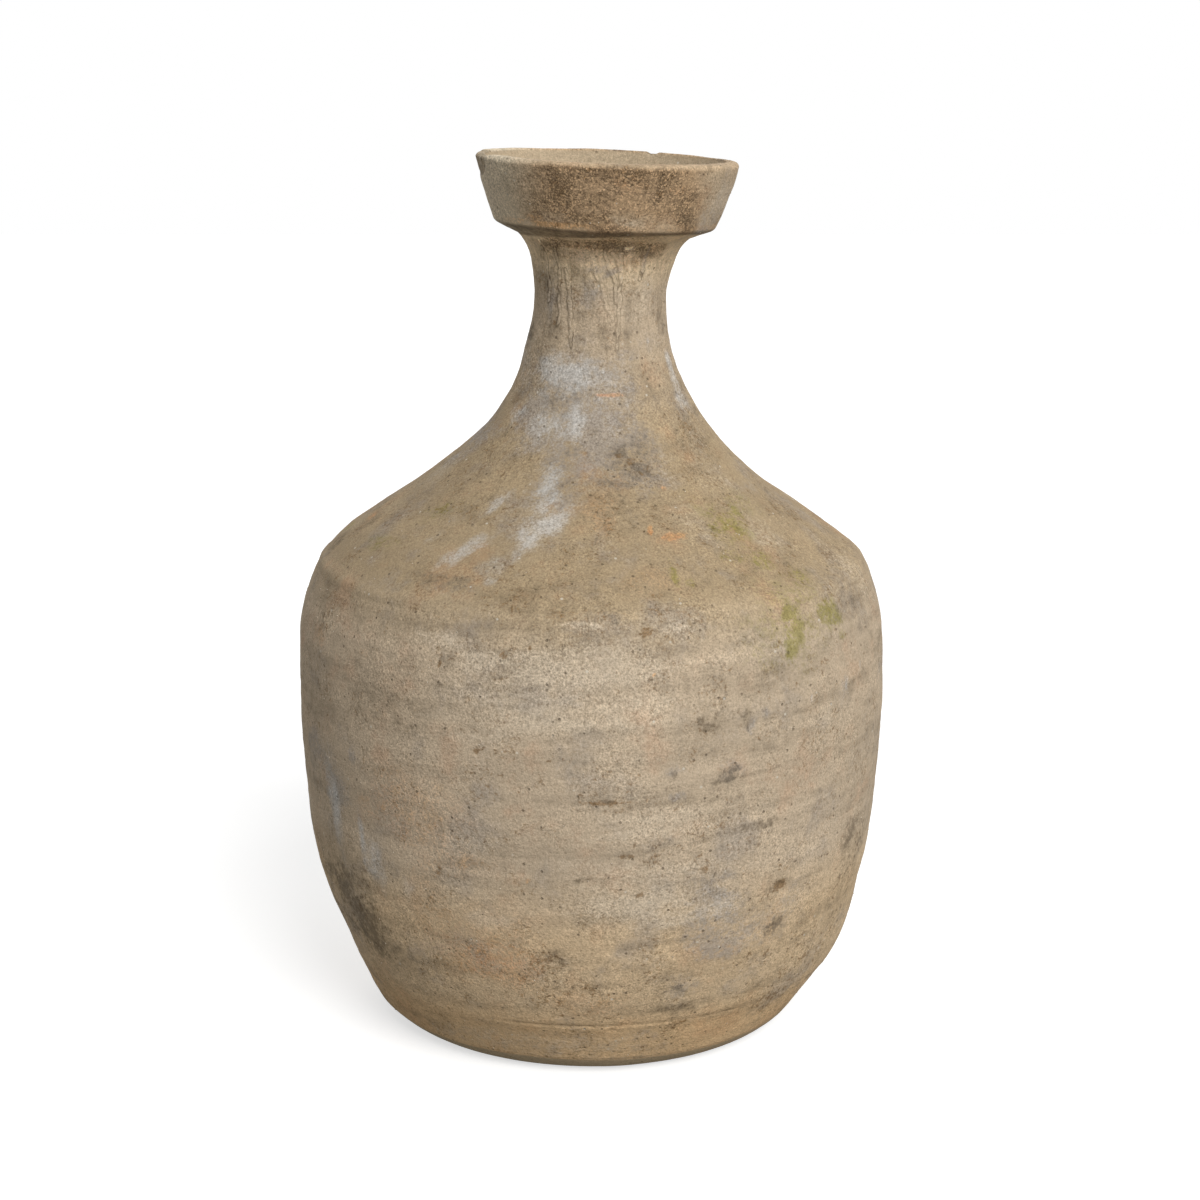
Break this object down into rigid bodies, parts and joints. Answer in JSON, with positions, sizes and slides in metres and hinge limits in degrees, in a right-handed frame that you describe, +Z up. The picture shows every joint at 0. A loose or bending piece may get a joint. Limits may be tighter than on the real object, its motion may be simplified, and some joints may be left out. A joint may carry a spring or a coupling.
{
  "type": "terracotta water jar",
  "caption": "Tall round-bellied earthenware water jar with a leaning waisted neck and a flared cup mouth, luted from thrown sections.",
  "frame": {"origin": "middle of the foot, on the surface that the jar stands on", "axes": "+Z up along the axis of the body; +X is the side to which the neck leans, on the right when seen from the front; -Y is the front"},
  "size_m": [0.4104, 0.4104, 0.6043],
  "materials": {
    "foot_clay": "matt earthenware, brown and worn",
    "inner_clay": "matt earthenware, unwashed inside",
    "body_clay": "matt sandy earthenware, weathered",
    "shoulder_clay": "matt earthenware with lime bloom and moss",
    "neck_clay": "matt earthenware with drip streaks",
    "rim_clay": "matt earthenware, sooty and grainy"
  },
  "bodies": {
    "root": {"base_disc": "foot_clay", "base_corner_coil": "inner_clay", "foot_band": "foot_clay", "lower_wall": "body_clay", "belly_wall": "body_clay", "shoulder": "shoulder_clay", "neck": "neck_clay", "rim_cup": "rim_clay"}
  },
  "joints": []
}
